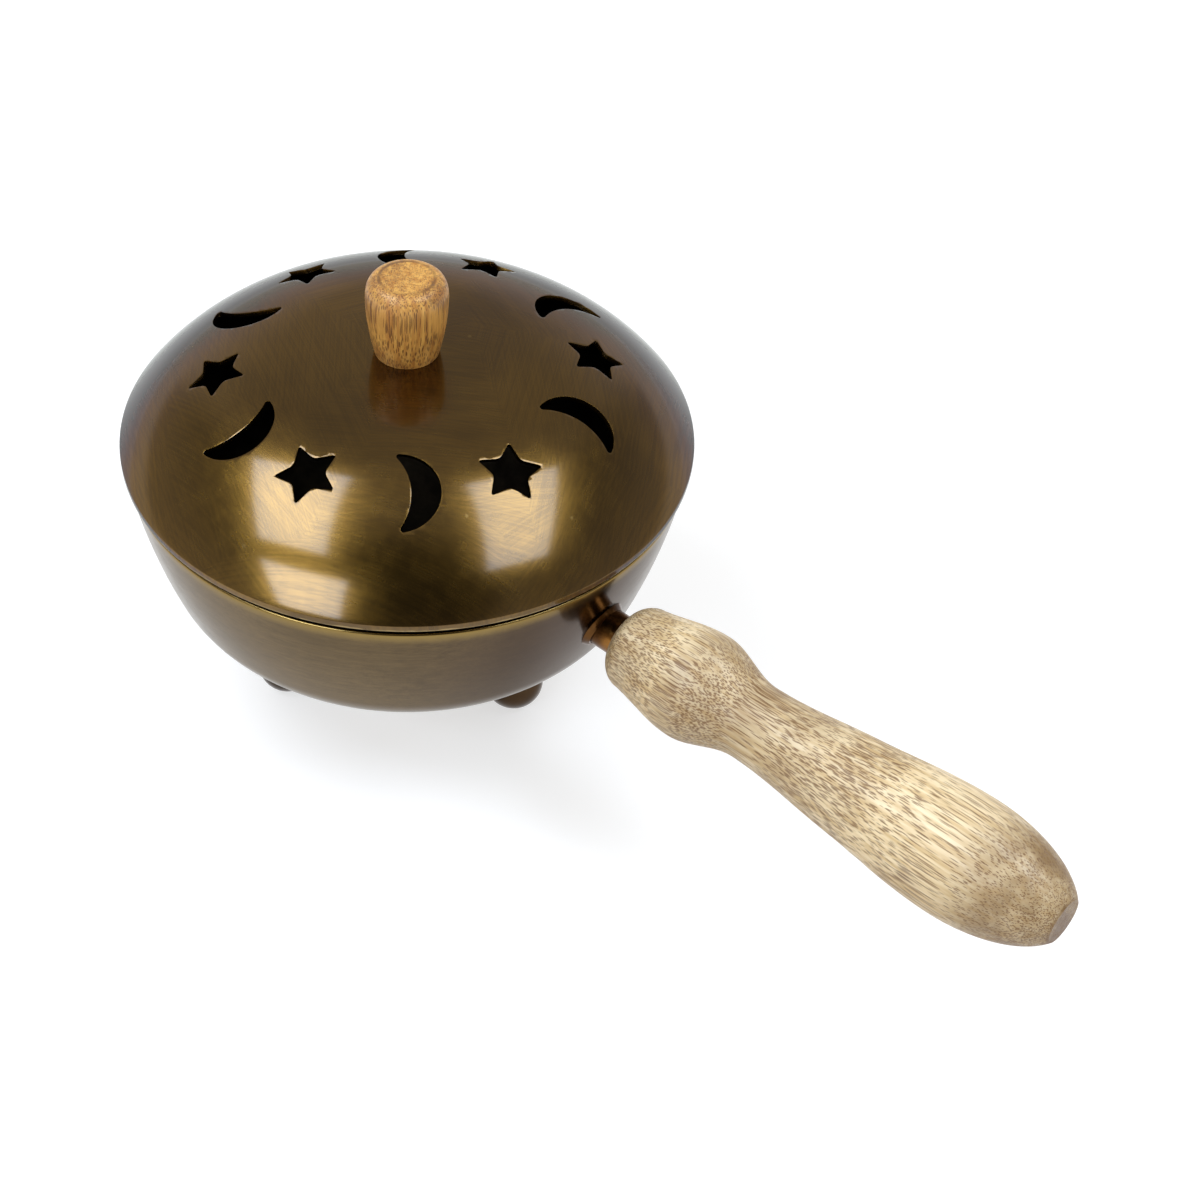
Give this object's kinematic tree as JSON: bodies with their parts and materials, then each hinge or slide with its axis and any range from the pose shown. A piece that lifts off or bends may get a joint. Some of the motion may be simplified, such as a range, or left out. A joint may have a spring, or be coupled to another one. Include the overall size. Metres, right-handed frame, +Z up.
{
  "type": "incense burner",
  "caption": "Hand-held brass incense burner: footed bowl, lift-off domed lid pierced with stars and crescents, wooden knob and turned wooden handle.",
  "frame": {"origin": "on the floor under the middle of the whole length", "axes": "+Z up, +X along the handle away from the bowl"},
  "size_m": [0.2244, 0.12, 0.1022],
  "materials": {
    "lid_brass": "antique, brushed",
    "bowl_brass": "antique, polished",
    "tube_brass": "heat-tinted, polished",
    "braze": "as brazed",
    "foot_brass": "antique, polished",
    "knob_wood": "turned, oiled",
    "grip_wood": "turned, sanded",
    "fastener_steel": "zinc plated"
  },
  "bodies": {
    "base": {"bowl": "bowl_brass", "handle_tube": "tube_brass", "handle_braze_bead": "braze", "handle_grip": "grip_wood", "foot_1": "foot_brass", "foot_2": "foot_brass", "foot_3": "foot_brass"},
    "lid": {"lid_dome": "lid_brass", "lid_seat_ring": "lid_brass", "lid_knob": "knob_wood", "lid_knob_washer": "fastener_steel", "lid_knob_screw": "fastener_steel"}
  },
  "joints": [
    {"name": "lid_lift", "type": "slide", "parent": "base", "child": "lid", "axis": [0, 0, 1], "range_m": [0, 0.1]}
  ]
}
